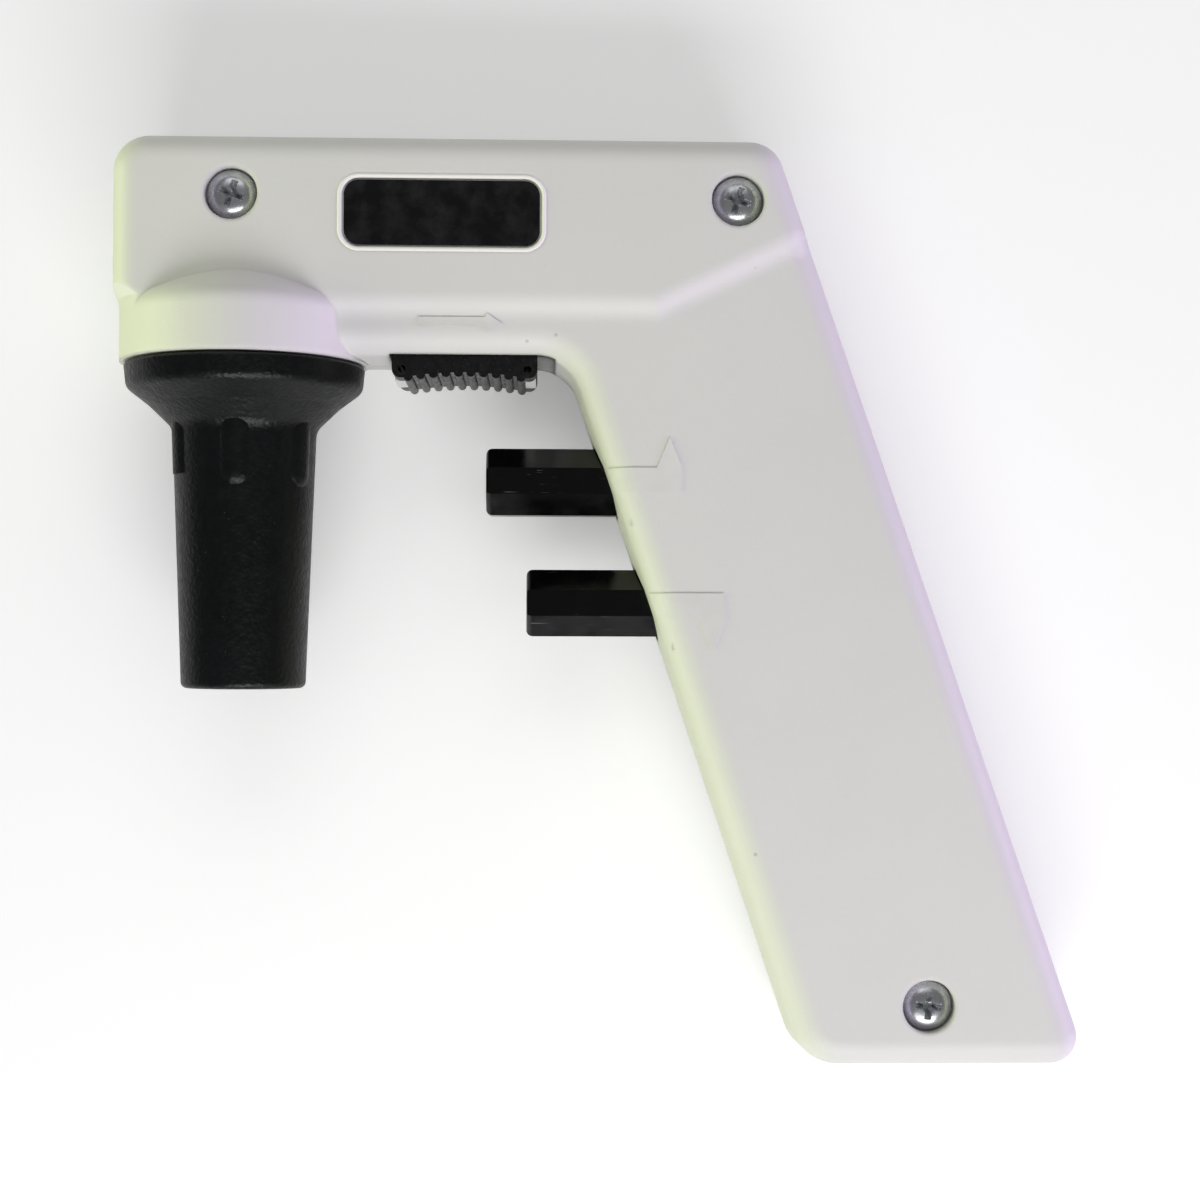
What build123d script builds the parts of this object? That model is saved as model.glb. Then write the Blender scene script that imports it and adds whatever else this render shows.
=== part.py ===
"""Pistol-shaped pipette pump: two-shell housing, screw-on nosepiece, two valve buttons,
a mode slide, and the valve block, diaphragm pump, motor and cells that they work with.

The pump lies on its side. X runs from the nose to the back of the handle, Y from the
foot of the handle to the top of the barrel, Z through the thickness. Millimetres.
"""
from build123d import *
from math import cos, pi, radians, sin, sqrt, tan
import os

os.makedirs("parts", exist_ok=True)

# Housing, overall
length = 136.3
height = 130.3
barrel_depth = 31.3
boss_radius = 17.7
lower_half = 10.75
upper_half = 12.0
wall = 2.2
draft_angle = 3.5
edge_round = 3.6
seam_gap = 0.05
lip_height = 1.2
lip_gap = 0.1

# Handle
front_lean = 18.6
back_lean = 19.0
foot_width = 41.0
nose_corner = 5.6
back_corner = 5.5
heel_corner = 4.3
toe_corner = 7.0
crotch_corner = 6.0

# Raised upper band of each shell
step_drop = 22.4
step_run = 4.0
step_knee = 75.8
step_slant = 25.5

# Round boss over the nosepiece
boss_shoulder = 8.2
boss_slope_run = 4.6
boss_slope_drop = 7.5
boss_soft = 3.0
boss_corner_cut = 2.6

# Housing screws, measured from the nose end and the top
screw_head_radius = 3.375
screw_head_height = 2.2
screw_rim_share = 0.4
dome_reach = 0.66
dome_rise = 0.86
screw_head_gap = 0.3
screw_head_sink = 0.25
screw_shank_radius = 1.75
screw_length = 15.9
cross_length = 3.9
cross_width = 1.1
cross_depth = 1.7
cross_taper = 12
cross_turns = [20, 20, 5]
post_radius = 4.6
far_post_radius = 3.9
insert_radius = 2.8
insert_length = 6.0
insert_groove = 0.4
nose_screw = (17.2, 9.0)
back_screw = (87.4, 9.3)
foot_screw = (114.4, 121.4)

# Plate in the side of the barrel
plate_length = 27.1
plate_width = 9.0
plate_corner = 2.1
plate_thickness = 0.4
plate_border = 0.75
recess_depth = 0.5
plate_place = (46.3, 11.5)

# Nosepiece
nosepiece_length = 46.0
flange_radius = 17.1
flange_edge = 3.3
flange_height = 5.8
cone_top_radius = 10.2
cone_tip_radius = 8.8
cone_blend = 9.0
cone_bore_top = 8.35
cone_bore_tip = 7.3
mouth_radius = 5.6
mouth_lip = 2.4
rib_count = 6
rib_width = 3.6
rib_proud = 0.6
rib_end = 17.4
nose_gap = 0.3
flange_draft = 0.35
flange_edge_run = 3.6
flange_top_soft = 0.4
flange_soft = 1.7
blend_soft = 2.6
tip_soft = 0.9
rib_radius = 3.0
thread_depth = 17.0

# Thread between nosepiece and housing
thread_pitch = 2.5
thread_turns = 3
spigot_radius = 8.0
spigot_grip = 1.5
spigot_length = thread_pitch * thread_turns + spigot_grip
spigot_chamfer = 0.8
seal_radius = 5.0
seal_wire = 0.9
seal_stand = 0.4
seal_groove = 1.4

# Pipette holder and filter
holder_gap = 0.3
holder_mouth_radius = 4.1
holder_throat_radius = 2.0
filter_height = 4.0
filter_radius = 7.4
filter_soft = 0.5
holder_sink = 0.5
holder_mouth_depth = 8.0
holder_taper_run = 14.0

# Nose fitting inside the housing
fitting_neck_radius = 9.0
fitting_flange_radius = 12.5
fitting_flange_height = 2.0
fitting_stem_radius = 5.5
fitting_height = 15.5
air_bore = 1.25
fit_gap = 0.15
keeper_thickness = 1.5
port_drop = 3.1
port_reach = 4.2

# Buttons
button_flats = 9.525
button_chamfer = 2.9
button_edge = 0.9
button_gap = 0.35
button_reach = 17.0
button_travel = 5.0
upper_button_drop = 48.0
lower_button_drop = 65.3
guide_depth = 5.4
guide_thickness = 2.0
guide_half_height = 6.6
collar_radius = 6.2
collar_thickness = 2.0
stem_radius = 2.5
stem_fit = 0.05
stem_engage = 7.0
spring_radius = 3.7
spring_wire = 0.4
spring_turns = 4
ring_wire = 0.55
ring_groove = 1.0
ring_places = [1.6, 5.4]
stem_root = 4.0
stem_chamfer = 0.5

# Mode slide
slide_start = 39.2
slide_length = 20.4
slide_width = 16.0
slide_drop = 2.6
slide_hollow = 0.8
slide_tooth = 0.62
slide_teeth = 10
slide_tooth_pitch = 1.76
slide_travel = 2.2
slide_rise = 1.2
slide_end_land = 1.5
slide_corner = 1.2
pin_fit = 0.02
knob_offset = 4.6
knob_width = 1.5
knob_rise = 0.8
arm_width = 5.0
fork_wall = 0.6
fork_height = 2.0
switch_length = 9.0
switch_width = 6.5
switch_height = 4.0
slot_gap = 0.35
carriage_thickness = 1.4
carriage_overhang = 2.4
lug_length = 2.4
lug_width = 8.0
lug_inset = 0.2
pin_radius = 0.84
pin_bore = 0.53
pin_drop = 1.35
pin_inset = 1.4

# Valve block
block_offset = 14.8
block_length = 18.0
block_half_depth = 7.5
block_margin = 6.2
seat_radius = 4.9
seat_depth = 2.0
port_pitch = 5.0
port_inset = 3.6
port_length = 4.0
plug_length = 3.0

# Air tubes
tube_radius = 1.6
barb_radius = 1.0
barb_bore = 0.5
tube_fit = 0.05
tube_bend = 3.0
tube_lane = 7.9
tube_start = 0.5
lane_lead = 7.0

# Motor and pump
pump_offset = 1.8
crank_drop = 18.6
motor_radius = 7.75
motor_length = 20.0
motor_start = 57.0
shaft_radius = 0.75
running_fit = 0.05
motor_soft = 0.8
motor_boss_radius = 2.5
motor_boss_length = 1.2
shaft_length = 13.0
crankcase_length = 16.0
crankcase_half = 6.4
crankcase_below = 7.2
crankcase_above = 8.2
crankcase_wall = 1.4
eccentric_radius = 2.0
eccentric_throw = 0.7
eccentric_length = 4.0
rod_ring_gap = 0.15
rod_ring_wall = 1.0
rod_ring_width = 3.0
rod_radius = 1.5
rod_stroke = 0.7
diaphragm_thickness = 0.8
pump_head_height = 5.6
chamber_radius = 3.6
chamber_depth = 1.2

# Cells
cell_radius = 7.1
cell_length = 40.0
cell_gap = 0.3
cradle_thickness = 1.5
cell_tip_radius = 2.8
cell_tip_height = 0.8
cell_soft = 0.6
strap_thickness = 0.3
strap_width = 4.0

# Charging socket in the foot of the handle
jack_place = 124.9
jack_radius = 4.2
jack_collar_radius = 5.2
jack_collar_height = 0.8
jack_length = 11.5
jack_bore_radius = 3.0
jack_bore_depth = 9.0
jack_pin_radius = 1.0
jack_pin_soft = 0.6
jack_pin_sink = 1.0

# Button switches and their strip
board_offset = 7.8
board_width = 6.0
board_thickness = 0.9
board_inset = 0.2
button_switch_length = 5.5
button_switch_height = 3.6
button_switch_depth = 5.8
switch_margin = 0.5
leaf_width = 3.0
leaf_thickness = 0.2
leaf_root = 0.8
leaf_drop = 3.6
leaf_bite = 0.9

# Derived places
mid = boss_radius
left, right = -length / 2, length / 2
top, bottom = height / 2, -height / 2
underside = top - barrel_depth
nose_x = left + boss_radius
heel_x = right + heel_corner * ((1 + sin(radians(back_lean))) / cos(radians(back_lean)) - 1)
back_top_x = heel_x - height * tan(radians(back_lean))
toe_x = heel_x - foot_width
crotch_x = toe_x - (underside - bottom) * tan(radians(front_lean))
step_y = top - step_drop
lean = (front_lean + back_lean) / 2


def front_x(y):
    """Outer front face of the handle at height y."""
    return crotch_x + (underside - y) * tan(radians(front_lean))


def back_x(y):
    """Outer back face of the handle at height y."""
    return heel_x - (y - bottom) * tan(radians(back_lean))


def place(spot):
    """A spot given from the nose end and the top, in the part's frame."""
    return left + spot[0], top - spot[1]


screw_spots = [place(nose_screw), place(back_screw), place(foot_screw)]
plate_x, plate_y = place(plate_place)
nose_plane = Plane(origin=(nose_x, 0, mid), x_dir=(-1, 0, 0), z_dir=(0, 0, -1))
nose_axis = Axis((nose_x, 0, mid), (0, 1, 0))
knee = (left + step_knee, step_y, mid)
slant = (cos(radians(step_slant)), sin(radians(step_slant)), 0)
step_planes = [
    Plane(origin=knee, x_dir=(0, -1, 0), z_dir=(-1, 0, 0)),
    Plane(origin=knee, x_dir=(slant[1], -slant[0], 0), z_dir=(-slant[0], -slant[1], 0)),
]


def housing_outline(inset):
    """Outline of the housing on the parting plane, moved in from the skin by inset."""
    with BuildSketch() as outline:
        with BuildLine():
            FilletPolyline(
                (left, underside),
                (crotch_x, underside),
                (toe_x, bottom),
                (heel_x, bottom),
                (back_top_x, top),
                (left, top),
                radius=[0, crotch_corner, toe_corner, heel_corner, back_corner, nose_corner],
                close=True,
            )
        make_face()
        if inset > 0:
            offset(amount=-inset)
    return outline.sketch


def housing_form(inset):
    """Half of the housing above the parting plane, moved in from the skin by inset."""
    low = lower_half - inset
    high = upper_half - inset
    radius = boss_radius - inset
    floor_y = underside + inset
    shoulder = underside + boss_shoulder
    slope_radius = radius - boss_slope_drop
    with BuildPart() as half:
        with BuildSketch(Plane.XY.offset(mid)):
            add(housing_outline(inset))
        extrude(amount=high, taper=draft_angle)
        for line in step_planes:
            with BuildSketch(line):
                with BuildLine():
                    start = (0, high)
                    middle = (step_run / 2, (high + low) / 2)
                    crest = TangentArc(start, middle, tangent=(1, 0))
                    swale = TangentArc(middle, (step_run, low), tangent=crest % 1)
                    Polyline(swale @ 1, (2 * height, low), (2 * height, 2 * high), (0, 2 * high), start)
                make_face()
            extrude(amount=length, both=True, mode=Mode.SUBTRACT)
        if inset == 0:
            fillet(rim_edges(half, low), edge_round)
        with BuildSketch(nose_plane):
            with BuildLine():
                Polyline(
                    (radius, underside - wall),
                    (radius, shoulder),
                    (radius + boss_corner_cut, shoulder + boss_corner_cut),
                    (2 * radius, shoulder + boss_corner_cut),
                    (2 * radius, underside - wall),
                    close=True,
                )
            make_face()
        revolve(axis=nose_axis, revolution_arc=90, mode=Mode.SUBTRACT)
        with BuildSketch(nose_plane):
            with BuildLine():
                FilletPolyline(
                    (0, floor_y),
                    (radius, floor_y),
                    (radius, shoulder),
                    (slope_radius, shoulder + boss_slope_run),
                    (0, shoulder + boss_slope_run),
                    radius=[0, 0, boss_soft, 0, 0],
                    close=True,
                )
            make_face()
        revolve(axis=nose_axis, revolution_arc=180)
    return half.part


def rim_edges(half, low):
    """Edges between the side walls and the face of a housing half."""
    walls = half.faces().filter_by(lambda f: abs(f.normal_at().Z) < 0.5)
    chosen = ShapeList()
    for edge in half.edges():
        if edge.center().Z > mid + low - 0.5:
            owners = [f for f in walls if edge in f.edges()]
            if len(owners) == 1:
                chosen.append(edge)
    return chosen



def across(x, y):
    """Plane square to the X axis, on the mid-plane at height y."""
    return Plane(origin=(x, y, mid), x_dir=(0, 1, 0), z_dir=(1, 0, 0))


def upright(x, y, z=mid):
    """Plane square to the Y axis, facing up the object."""
    return Plane(origin=(x, y, z), x_dir=(0, 0, 1), z_dir=(0, 1, 0))


# Heights and reaches of the two buttons
button_heights = [top - upper_button_drop, top - lower_button_drop]
slide_x = left + slide_start
slide_end = slide_x + slide_length
slot_x = slide_x - slot_gap
slot_end = slide_end + slide_travel + slot_gap
jack_x = left + jack_place
fitting_y = underside + wall + fit_gap
keeper_y = fitting_y + fitting_flange_height + fit_gap
face_heights = [upper_half, upper_half, lower_half]
head_seats = [mid + h - screw_head_sink - screw_head_height for h in face_heights]
pack_rise = cell_length / 2 + cell_tip_height + strap_thickness
block_top = button_heights[0] + block_margin
block_bottom = button_heights[1] - block_margin
pack_y = block_bottom - cell_gap * 2 - pack_rise * cos(radians(lean)) - 2 * cell_radius * sin(radians(lean))
pack_x = (front_x(pack_y) + back_x(pack_y)) / 2
pack_plane = Plane(
    origin=(pack_x, pack_y, mid),
    x_dir=(cos(radians(lean)), sin(radians(lean)), 0),
    z_dir=(-sin(radians(lean)), cos(radians(lean)), 0),
)
motor_x = left + motor_start
crank_y = top - crank_drop
pump_z = mid - pump_offset


def openings():
    """Every hole that both shells share: nose, slide slot, buttons and charging socket."""
    with BuildPart() as holes:
        with BuildSketch(upright(nose_x, underside - wall)):
            Circle(fitting_neck_radius + fit_gap)
        extrude(amount=3 * wall)
        with BuildSketch(upright((slot_x + slot_end) / 2, underside - wall)):
            Rectangle(slide_width + 2 * slot_gap, slot_end - slot_x)
        extrude(amount=3 * wall)
        for y in button_heights:
            wide = button_flats + 2 * button_gap
            cut = button_chamfer + button_gap * (2 - sqrt(2))
            start = front_x(y) - 3 * wall
            with BuildSketch(across(start, y)) as section:
                Rectangle(wide, wide)
                chamfer(section.vertices(), length=cut)
            extrude(amount=3 * wall + guide_depth)
        with BuildSketch(upright(jack_x, bottom - wall)):
            Circle(jack_radius + fit_gap)
        extrude(amount=3 * wall)
    return holes.part


def inner_ribs():
    """Button guides, keeper and cradles that stand up from inside a shell to the seam."""
    depth = lower_half - wall / 2
    with BuildPart() as ribs:
        for y in button_heights:
            with BuildSketch(across(front_x(y) + guide_depth - guide_thickness, y)):
                with Locations((0, depth / 2)):
                    Rectangle(2 * guide_half_height, depth)
            extrude(amount=guide_thickness)
        with BuildSketch(upright(nose_x, keeper_y)):
            Circle(boss_radius - wall / 2)
            Circle(fitting_stem_radius + fit_gap, mode=Mode.SUBTRACT)
            with Locations((-boss_radius / 2, 0)):
                Rectangle(boss_radius, 2 * boss_radius, mode=Mode.SUBTRACT)
            with Locations((0, boss_radius + fitting_flange_radius - fit_gap)):
                Rectangle(2 * boss_radius, 2 * boss_radius, mode=Mode.SUBTRACT)
        extrude(amount=keeper_thickness)
        for along in (-cell_length / 3, cell_length / 3):
            spot = pack_plane.from_local_coords(Vector(0, 0, along))
            with BuildSketch(Plane.XY.offset(mid + cell_radius + seam_gap)):
                with Locations(Location((spot.X, spot.Y, 0), (0, 0, lean))):
                    Rectangle(4 * cell_radius, cradle_thickness)
            extrude(amount=lower_half - cell_radius - wall / 2)
    return ribs.part


def outline_ring(outer, inner, start, depth):
    """Band that follows the housing outline, between two distances in from the skin."""
    with BuildPart() as ring:
        with BuildSketch(Plane.XY.offset(start)):
            add(housing_outline(outer))
            add(housing_outline(inner), mode=Mode.SUBTRACT)
        extrude(amount=depth)
    return ring.part


skin = housing_form(0)
cavity = housing_form(wall)
holes = openings()

with BuildPart() as near_shell:
    add(skin)
    add(cavity, mode=Mode.SUBTRACT)
    add(inner_ribs())
    for spot, face in zip(screw_spots, face_heights):
        with BuildSketch(Plane.XY.offset(mid)):
            with Locations(spot):
                Circle(post_radius)
        extrude(amount=face - wall / 2)
    add(outline_ring(wall / 2 + lip_gap, wall, mid - lip_height, lip_height))
    add(holes, mode=Mode.SUBTRACT)
    for spot, seat in zip(screw_spots, head_seats):
        with BuildSketch(Plane.XY.offset(seat)):
            with Locations(spot):
                Circle(screw_head_radius + screw_head_gap)
        extrude(amount=upper_half, mode=Mode.SUBTRACT)
        with BuildSketch(Plane.XY.offset(mid - wall)):
            with Locations(spot):
                Circle(screw_shank_radius + fit_gap)
        extrude(amount=upper_half, mode=Mode.SUBTRACT)
    with BuildSketch(Plane.XY.offset(mid + upper_half - recess_depth)):
        with Locations((plate_x, plate_y)):
            RectangleRounded(
                plate_length + 2 * plate_border, plate_width + 2 * plate_border, plate_corner + plate_border
            )
    extrude(amount=wall, mode=Mode.SUBTRACT)

with BuildPart() as far_half:
    add(skin)
    add(cavity, mode=Mode.SUBTRACT)
    add(inner_ribs())
    for spot, face in zip(screw_spots, face_heights):
        with BuildSketch(Plane.XY.offset(mid)):
            with Locations(spot):
                Circle(far_post_radius)
        extrude(amount=face - wall / 2)
    add(outline_ring(wall / 2, wall + lip_gap, mid, lip_height + lip_gap), mode=Mode.SUBTRACT)
    add(mirror(holes, about=Plane.XY.offset(mid), mode=Mode.PRIVATE), mode=Mode.SUBTRACT)
    with BuildSketch(Plane.XY.offset(mid)):
        with Locations(screw_spots):
            Circle(insert_radius + seam_gap)
    extrude(amount=insert_length + fit_gap, mode=Mode.SUBTRACT)
    with BuildSketch(Plane.XY.offset(mid)):
        with Locations(screw_spots):
            Circle(screw_shank_radius + fit_gap)
    extrude(amount=lower_half - wall - fit_gap, mode=Mode.SUBTRACT)

with BuildPart() as far_shell:
    add(mirror(far_half.part, about=Plane.XY.offset(mid), mode=Mode.PRIVATE))

near_shell.part.label = "near_shell"
export_step(near_shell.part, "parts/near_shell.step")
far_shell.part.label = "far_shell"
export_step(far_shell.part, "parts/far_shell.step")

# Plate in the recess on the side of the barrel
with BuildPart() as side_plate:
    with BuildSketch(Plane.XY.offset(mid + upper_half - recess_depth)):
        with Locations((plate_x, plate_y)):
            RectangleRounded(plate_length, plate_width, plate_corner)
    extrude(amount=plate_thickness)
side_plate.part.label = "side_plate"
export_step(side_plate.part, "parts/side_plate.step")

# Pan-head screws with a cross recess
with BuildPart() as screw:
    with BuildSketch(Plane.XZ):
        with BuildLine():
            rim_height = screw_head_height * screw_rim_share
            dome = ThreePointArc(
                (0, screw_head_height),
                (screw_head_radius * dome_reach, screw_head_height * dome_rise),
                (screw_head_radius, rim_height),
            )
            Polyline(
                dome @ 1,
                (screw_head_radius, 0),
                (screw_shank_radius, 0),
                (screw_shank_radius, -screw_length + screw_shank_radius / 2),
                (screw_shank_radius / 2, -screw_length),
                (0, -screw_length),
                dome @ 0,
            )
        make_face()
    revolve(axis=Axis.Z)
    with BuildSketch(Plane.XY.offset(screw_head_height)):
        Rectangle(cross_length, cross_width)
        Rectangle(cross_width, cross_length)
    extrude(amount=-cross_depth, taper=cross_taper, mode=Mode.SUBTRACT)
with BuildPart() as housing_screws:
    for spot, seat, turn in zip(screw_spots, head_seats, cross_turns):
        with Locations(Location((spot[0], spot[1], seat), (0, 0, turn))):
            add(screw.part)
housing_screws.part.label = "housing_screws"
export_step(housing_screws.part, "parts/housing_screws.step")

with BuildPart() as thread_inserts:
    with BuildSketch(Plane.XY.offset(mid - seam_gap)):
        with Locations(screw_spots):
            Circle(insert_radius)
            Circle(screw_shank_radius + seam_gap, mode=Mode.SUBTRACT)
    extrude(amount=-insert_length)
    with BuildSketch(Plane.XY.offset(mid - insert_length / 2)):
        with Locations(screw_spots):
            Circle(2 * insert_radius)
            Circle(insert_radius - insert_groove, mode=Mode.SUBTRACT)
    extrude(amount=insert_groove, both=True, mode=Mode.SUBTRACT)
thread_inserts.part.label = "thread_inserts"
export_step(thread_inserts.part, "parts/thread_inserts.step")

# Nosepiece: flange, tapered barrel and grip ribs, turned about the nose axis
flange_top = underside - nose_gap
tip_y = flange_top - nosepiece_length
bore_turn = flange_top - thread_depth
with BuildPart() as nosepiece:
    with BuildSketch(nose_plane):
        with BuildLine():
            FilletPolyline(
                (cone_bore_top, flange_top),
                (flange_radius, flange_top),
                (flange_radius - flange_draft, flange_top - flange_edge),
                (flange_radius - flange_edge_run, flange_top - flange_height),
                (cone_top_radius, flange_top - cone_blend),
                (cone_tip_radius, tip_y),
                (mouth_radius, tip_y),
                (mouth_radius, tip_y + mouth_lip),
                (cone_bore_tip, tip_y + mouth_lip),
                (cone_bore_top, bore_turn),
                radius=[0, flange_top_soft, flange_soft, flange_soft, blend_soft, tip_soft, 0, 0, 0, 0],
                close=True,
            )
        make_face()
    revolve(axis=nose_axis)
    cone_run = nosepiece_length - cone_blend
    cone_slope = (cone_top_radius - cone_tip_radius) / cone_run
    rib_core = rib_radius - rib_proud
    end_y = flange_top - rib_end + rib_width / 2
    start_y = flange_top - flange_height
    end_r = cone_top_radius - cone_slope * (rib_end - rib_width / 2 - cone_blend) - rib_core
    for k in range(rib_count):
        turn = 2 * pi * k / rib_count
        out = Vector(sin(turn), 0, cos(turn))
        end = Vector(nose_x, end_y, mid) + out * end_r
        rise = Vector(0, 1, 0) + out * cone_slope
        with BuildSketch(Plane(origin=end, z_dir=rise)):
            Circle(rib_radius)
        extrude(amount=start_y - end_y)
        with Locations(end):
            Sphere(rib_radius)
    with BuildSketch(nose_plane):
        with BuildLine():
            Polyline(
                (0, flange_top + wall),
                (cone_bore_top, flange_top + wall),
                (cone_bore_top, bore_turn),
                (cone_bore_tip, tip_y + mouth_lip),
                (0, tip_y + mouth_lip),
                close=True,
            )
        make_face()
    revolve(axis=nose_axis, mode=Mode.SUBTRACT)
nosepiece.part.label = "nosepiece"
export_step(nosepiece.part, "parts/nosepiece.step")

# Nose fitting: threaded spigot, flange held between the shells, and a side port
spigot_end = underside - spigot_length
port_y = underside + fitting_height - port_drop
with BuildPart() as nose_fitting:
    with BuildSketch(nose_plane):
        with BuildLine():
            Polyline(
                (air_bore, spigot_end),
                (spigot_radius - spigot_chamfer, spigot_end),
                (spigot_radius, spigot_end + spigot_chamfer),
                (spigot_radius, underside),
                (fitting_neck_radius, underside),
                (fitting_neck_radius, fitting_y),
                (fitting_flange_radius, fitting_y),
                (fitting_flange_radius, fitting_y + fitting_flange_height),
                (fitting_stem_radius, fitting_y + fitting_flange_height),
                (fitting_stem_radius, port_y + port_drop),
                (0, port_y + port_drop),
                (0, port_y),
                (air_bore, port_y),
                close=True,
            )
        make_face()
    revolve(axis=nose_axis)
    with BuildSketch(nose_plane):
        with Locations((seal_radius, spigot_end)):
            Rectangle(2 * seal_wire + 2 * seam_gap, 2 * seal_groove)
    revolve(axis=nose_axis, mode=Mode.SUBTRACT)
    with BuildSketch(across(nose_x, port_y)):
        Circle(barb_radius)
    extrude(amount=fitting_stem_radius + port_reach)
    with BuildSketch(across(nose_x, port_y)):
        Circle(barb_bore)
    extrude(amount=fitting_stem_radius + port_reach, mode=Mode.SUBTRACT)
nose_fitting.part.label = "nose_fitting"
export_step(nose_fitting.part, "parts/nose_fitting.step")

seal_y = spigot_end - seal_stand + seal_wire
with BuildPart() as nose_seal:
    with BuildSketch(nose_plane):
        with Locations((seal_radius, seal_y)):
            Circle(seal_wire)
    revolve(axis=nose_axis)
nose_seal.part.label = "nose_seal"
export_step(nose_seal.part, "parts/nose_seal.step")

# Filter disc and silicone pipette holder inside the nosepiece
filter_top = spigot_end - seal_stand - lip_gap
filter_end = filter_top - filter_height
with BuildPart() as nose_filter:
    with BuildSketch(nose_plane):
        with BuildLine():
            FilletPolyline(
                (air_bore, filter_top),
                (filter_radius, filter_top),
                (filter_radius, filter_end),
                (air_bore, filter_end),
                radius=[0, filter_soft, filter_soft, 0],
                close=True,
            )
        make_face()
    revolve(axis=nose_axis)
nose_filter.part.label = "nose_filter"
export_step(nose_filter.part, "parts/nose_filter.step")

holder_top = filter_end - seam_gap
holder_y = tip_y + mouth_lip + lip_gap
with BuildPart() as pipette_holder:
    with BuildSketch(nose_plane):
        with BuildLine():
            Polyline(
                (holder_throat_radius, holder_top),
                (cone_bore_tip, holder_top),
                (cone_bore_tip - holder_gap, holder_y),
                (mouth_radius - holder_gap, holder_y),
                (mouth_radius - holder_gap, tip_y + holder_sink),
                (holder_mouth_radius, tip_y + holder_sink),
                (holder_mouth_radius, tip_y + holder_sink + holder_mouth_depth),
                (holder_throat_radius, tip_y + holder_sink + holder_mouth_depth + holder_taper_run),
                close=True,
            )
        make_face()
    revolve(axis=nose_axis)
pipette_holder.part.label = "pipette_holder"
export_step(pipette_holder.part, "parts/pipette_holder.step")

# Buttons, each with a stem, two sealing rings and a return spring
button_names = ["aspirate", "dispense"]
for name, y in zip(button_names, button_heights):
    face_x = front_x(y)
    collar_x = face_x + guide_depth + seam_gap
    seat_x = face_x + block_offset + seat_depth
    spring_x = collar_x + collar_thickness
    with BuildPart() as button:
        with BuildSketch(across(face_x - button_reach, y)) as section:
            Rectangle(button_flats, button_flats)
            chamfer(section.vertices(), length=button_chamfer)
        extrude(amount=button_reach + guide_depth + seam_gap)
        fillet(button.faces().sort_by(Axis.X)[0].edges(), button_edge)
        with BuildSketch(across(collar_x, y)):
            Circle(collar_radius)
        extrude(amount=collar_thickness)
        with BuildSketch(across(spring_x, y)):
            Circle(stem_radius)
        extrude(amount=-stem_root, mode=Mode.SUBTRACT)
    button.part.label = f"{name}_button"
    export_step(button.part, f"parts/{name}_button.step")

    with BuildPart() as stem:
        with BuildSketch(across(spring_x - stem_root, y)):
            Circle(stem_radius)
        extrude(amount=stem_root + seat_x + stem_engage - spring_x)
        chamfer(stem.faces().sort_by(Axis.X)[-1].edges(), length=stem_chamfer)
        for groove in ring_places:
            with BuildSketch(across(seat_x + groove, y)):
                Circle(2 * stem_radius)
                Circle(stem_radius - ring_groove, mode=Mode.SUBTRACT)
            extrude(amount=ring_wire, both=True, mode=Mode.SUBTRACT)
    stem.part.label = f"{name}_stem"
    export_step(stem.part, f"parts/{name}_stem.step")

    with BuildPart() as rings:
        for groove in ring_places:
            with BuildSketch(Plane(origin=(seat_x + groove, y, mid), x_dir=(0, 1, 0), z_dir=(0, 0, 1))):
                with Locations((stem_radius - ring_groove + ring_wire, 0)):
                    Circle(ring_wire - seam_gap)
            revolve(axis=Axis((0, y, mid), (1, 0, 0)))
    rings.part.label = f"{name}_rings"
    export_step(rings.part, f"parts/{name}_rings.step")

    spring_run = seat_x - spring_x - 2 * spring_wire - 2 * seam_gap
    with BuildPart() as spring:
        with BuildLine():
            coil = Helix(
                pitch=spring_run / spring_turns,
                height=spring_run,
                radius=spring_radius,
                center=(spring_x + spring_wire + seam_gap, y, mid),
                direction=(1, 0, 0),
            )
        with BuildSketch(Plane(origin=coil @ 0, z_dir=coil % 0)):
            Circle(spring_wire)
        sweep()
    spring.part.label = f"{name}_spring"
    export_step(spring.part, f"parts/{name}_spring.step")

# Mode slide: ridged thumb piece, carriage above the slot and two pins
slide_top = underside + slide_rise
slide_foot = underside - slide_drop
slide_middle = (slide_x + slide_end) / 2
hollow_half = slide_length / 2 - slide_end_land
hollow_radius = (hollow_half**2 + slide_hollow**2) / (2 * slide_hollow)
hollow_y = slide_foot + slide_hollow - hollow_radius
pin_y = underside - pin_drop
pin_spots = [(slide_x + pin_inset, pin_y), (slide_end - pin_inset, pin_y)]
lug_spots = [slide_x + lug_inset + lug_length / 2, slide_end - lug_inset - lug_length / 2]
lug_foot = pin_y - lug_length / 2
with BuildPart() as mode_slide:
    with BuildSketch(Plane.XY.offset(mid - slide_width / 2)):
        with BuildLine():
            FilletPolyline(
                (slide_x, slide_top),
                (slide_x, slide_foot),
                (slide_end, slide_foot),
                (slide_end, slide_top),
                radius=[0, slide_corner, slide_corner, 0],
                close=True,
            )
        make_face()
        with Locations((slide_middle, hollow_y)):
            Circle(hollow_radius, mode=Mode.SUBTRACT)
        for k in range(slide_teeth):
            along = (k - (slide_teeth - 1) / 2) * slide_tooth_pitch
            with Locations((slide_middle + along, hollow_y + sqrt(hollow_radius**2 - along**2))):
                Circle(slide_tooth)
        with Locations(pin_spots):
            Circle(pin_radius + pin_fit, mode=Mode.SUBTRACT)
    extrude(amount=slide_width)
    with BuildSketch(upright(slide_middle, slide_top)):
        with Locations([(0, x - slide_middle) for x in lug_spots]):
            Rectangle(lug_width + 2 * lip_gap, lug_length + 2 * lip_gap)
    extrude(amount=lug_foot - lip_gap - slide_top, mode=Mode.SUBTRACT)
mode_slide.part.label = "mode_slide"
export_step(mode_slide.part, "parts/mode_slide.step")

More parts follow.
